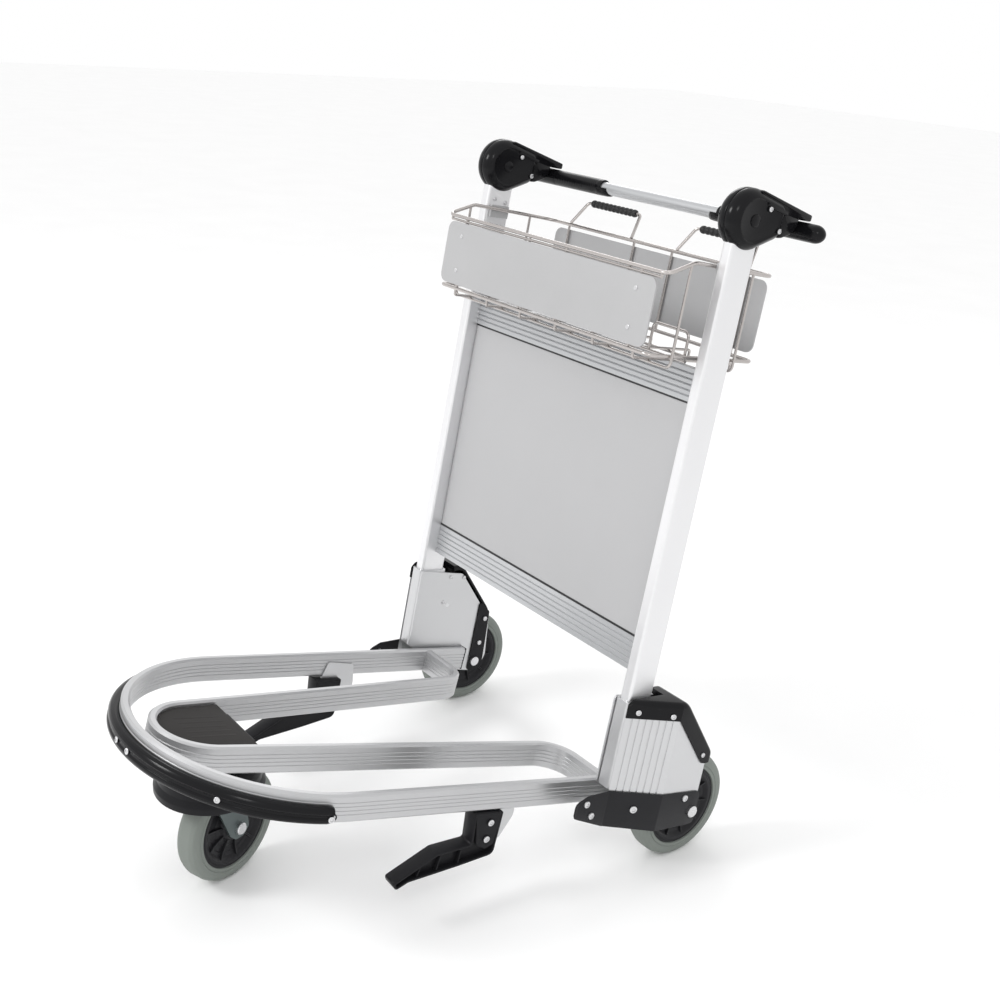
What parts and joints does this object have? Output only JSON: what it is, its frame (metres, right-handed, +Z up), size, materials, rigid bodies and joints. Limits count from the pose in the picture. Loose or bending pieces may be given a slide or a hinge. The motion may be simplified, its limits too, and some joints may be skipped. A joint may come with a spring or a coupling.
{
  "type": "airport luggage trolley",
  "caption": "Nesting luggage trolley: nose-up rail platform, leaning uprights with a display panel, wire basket, caster nose and a press-down brake handle.",
  "frame": {"origin": "on the floor, at the centre of the whole object's box", "axes": "+Z up, -Y forward towards the nose, +X to the trolley's left"},
  "size_m": [0.683, 0.9507, 1.0739],
  "materials": {
    "satin_aluminium": "satin anodised",
    "panel_board": "matte light grey",
    "stainless_wire": "polished wire",
    "basket_sheet": "satin light grey",
    "plated_steel": "zinc plated",
    "grey_tyre": "matte grey",
    "black_hub": "semi-gloss",
    "fork_paint": "satin",
    "gloss_black": "gloss",
    "black_moulding": "semi-gloss",
    "nose_board": "matte",
    "black_rubber": "matte"
  },
  "bodies": {
    "frame": {"outer_rail": "satin_aluminium", "inner_rail": "satin_aluminium", "rail_end_caps": "black_moulding", "nose_bumper": "black_moulding", "nose_plate": "nose_board", "caster_mount": "black_moulding", "caster_housing": "black_moulding", "caster_kingpin": "plated_steel", "caster_bearing": "plated_steel", "upright_left": "satin_aluminium", "upright_right": "satin_aluminium", "upright_sleeves": "satin_aluminium", "bottom_rail": "satin_aluminium", "top_rail": "satin_aluminium", "ad_panel": "panel_board", "panel_seals": "black_rubber", "panel_lock": "plated_steel", "pod_shells": "satin_aluminium", "pod_covers": "black_moulding", "pod_inner_plates": "satin_aluminium", "pod_inner_strips": "black_moulding", "pod_brackets": "black_moulding", "rear_axles": "plated_steel", "rear_axle_spacers": "plated_steel", "brake_shoe_pins": "plated_steel", "housing_outer_shells": "gloss_black", "housing_inner_shells": "gloss_black", "housing_screws": "plated_steel", "handle_pivot_pins": "plated_steel", "return_springs": "plated_steel", "basket_frame": "stainless_wire", "basket_floor_wire": "stainless_wire", "basket_guards": "stainless_wire", "basket_front_plate": "basket_sheet", "basket_back_plate": "basket_sheet", "basket_rivets": "plated_steel", "basket_brackets": "basket_sheet", "carry_loops": "stainless_wire", "carry_loop_grips": "black_rubber", "foot_brackets": "satin_aluminium", "escalator_feet": "black_moulding", "frame_screws": "plated_steel"},
    "left_rear_wheel": {"rear_wheel_left_tyre": "grey_tyre", "rear_wheel_left_hub": "black_hub", "rear_wheel_left_bearings": "plated_steel"},
    "right_rear_wheel": {"rear_wheel_right_tyre": "grey_tyre", "rear_wheel_right_hub": "black_hub", "rear_wheel_right_bearings": "plated_steel"},
    "caster": {"caster_fork": "fork_paint", "caster_axle": "plated_steel"},
    "front_wheel": {"front_wheel_tyre": "grey_tyre", "front_wheel_hub": "black_hub", "front_wheel_bearings": "plated_steel"},
    "push_handle": {"handle_bar": "satin_aluminium", "handle_grip_left": "gloss_black", "handle_grip_right": "gloss_black"},
    "left_rod": {"brake_rod_left": "plated_steel"},
    "right_rod": {"brake_rod_right": "plated_steel"},
    "left_shoe": {"brake_shoe_left": "black_rubber"},
    "right_shoe": {"brake_shoe_right": "black_rubber"}
  },
  "joints": [
    {"name": "left_wheel_spin", "type": "hinge", "parent": "frame", "child": "left_rear_wheel", "pos_m": [0.3, 0.34136, 0.09], "axis": [1, 0, 0], "continuous": true},
    {"name": "right_wheel_spin", "type": "hinge", "parent": "frame", "child": "right_rear_wheel", "pos_m": [-0.3, 0.34136, 0.09], "axis": [1, 0, 0], "continuous": true},
    {"name": "caster_swivel", "type": "hinge", "parent": "frame", "child": "caster", "pos_m": [0, -0.33947, 0.19], "axis": [0, 0, 1], "continuous": true},
    {"name": "front_wheel_spin", "type": "hinge", "parent": "caster", "child": "front_wheel", "pos_m": [-0.01231, -0.30564, 0.09], "axis": [0.9397, 0.342, 0], "continuous": true},
    {"name": "handle_press", "type": "hinge", "parent": "frame", "child": "push_handle", "pos_m": [0, 0.33788, 1.02996], "axis": [-1, 0, 0], "range_deg": [0, 7], "stiffness_Nm_per_rad": 40, "springref_deg": -8.59},
    {"name": "left_rod_slide", "type": "slide", "parent": "frame", "child": "left_rod", "axis": [0, 0.1357, 0.9907], "range_m": [0, 0.0022]},
    {"name": "right_rod_slide", "type": "slide", "parent": "frame", "child": "right_rod", "axis": [0, 0.1357, 0.9907], "range_m": [0, 0.0022]},
    {"name": "left_shoe_turn", "type": "hinge", "parent": "frame", "child": "left_shoe", "pos_m": [0, 0.27161, 0.22198], "axis": [-1, 0, 0], "range_deg": [0, 2.2]},
    {"name": "right_shoe_turn", "type": "hinge", "parent": "frame", "child": "right_shoe", "pos_m": [0, 0.27161, 0.22198], "axis": [-1, 0, 0], "range_deg": [0, 2.2]}
  ],
  "couplings": [
    {"joint": "left_rod_slide", "follows": "handle_press", "m_per_rad": 0.016},
    {"joint": "right_rod_slide", "follows": "handle_press", "m_per_rad": 0.016},
    {"joint": "left_shoe_turn", "follows": "handle_press", "ratio": 0.26667},
    {"joint": "right_shoe_turn", "follows": "handle_press", "ratio": 0.26667}
  ]
}
